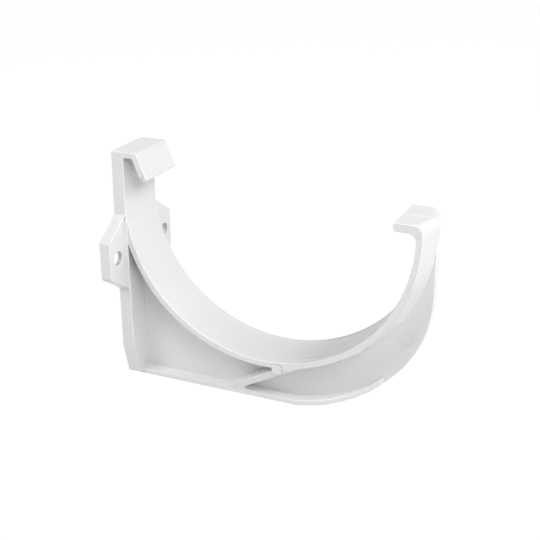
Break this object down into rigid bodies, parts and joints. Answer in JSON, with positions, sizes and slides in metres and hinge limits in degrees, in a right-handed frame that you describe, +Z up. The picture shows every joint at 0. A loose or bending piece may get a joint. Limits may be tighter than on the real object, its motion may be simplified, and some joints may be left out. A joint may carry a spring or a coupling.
{
  "type": "gutter bracket",
  "caption": "One-piece moulded fascia bracket with a half-round seat, a rear hook and a front lip that hold a gutter, and two side ears for screws.",
  "frame": {"origin": "on the wall face, in the middle of the width and midway between the two screw holes", "axes": "+X points away from the wall towards the front lip, Y runs along the gutter, +Z is up"},
  "size_m": [0.1215, 0.045, 0.0921],
  "materials": {
    "pvc": "white rigid PVC with a soft satin sheen"
  },
  "bodies": {
    "root": {"bracket": "pvc"}
  },
  "joints": []
}
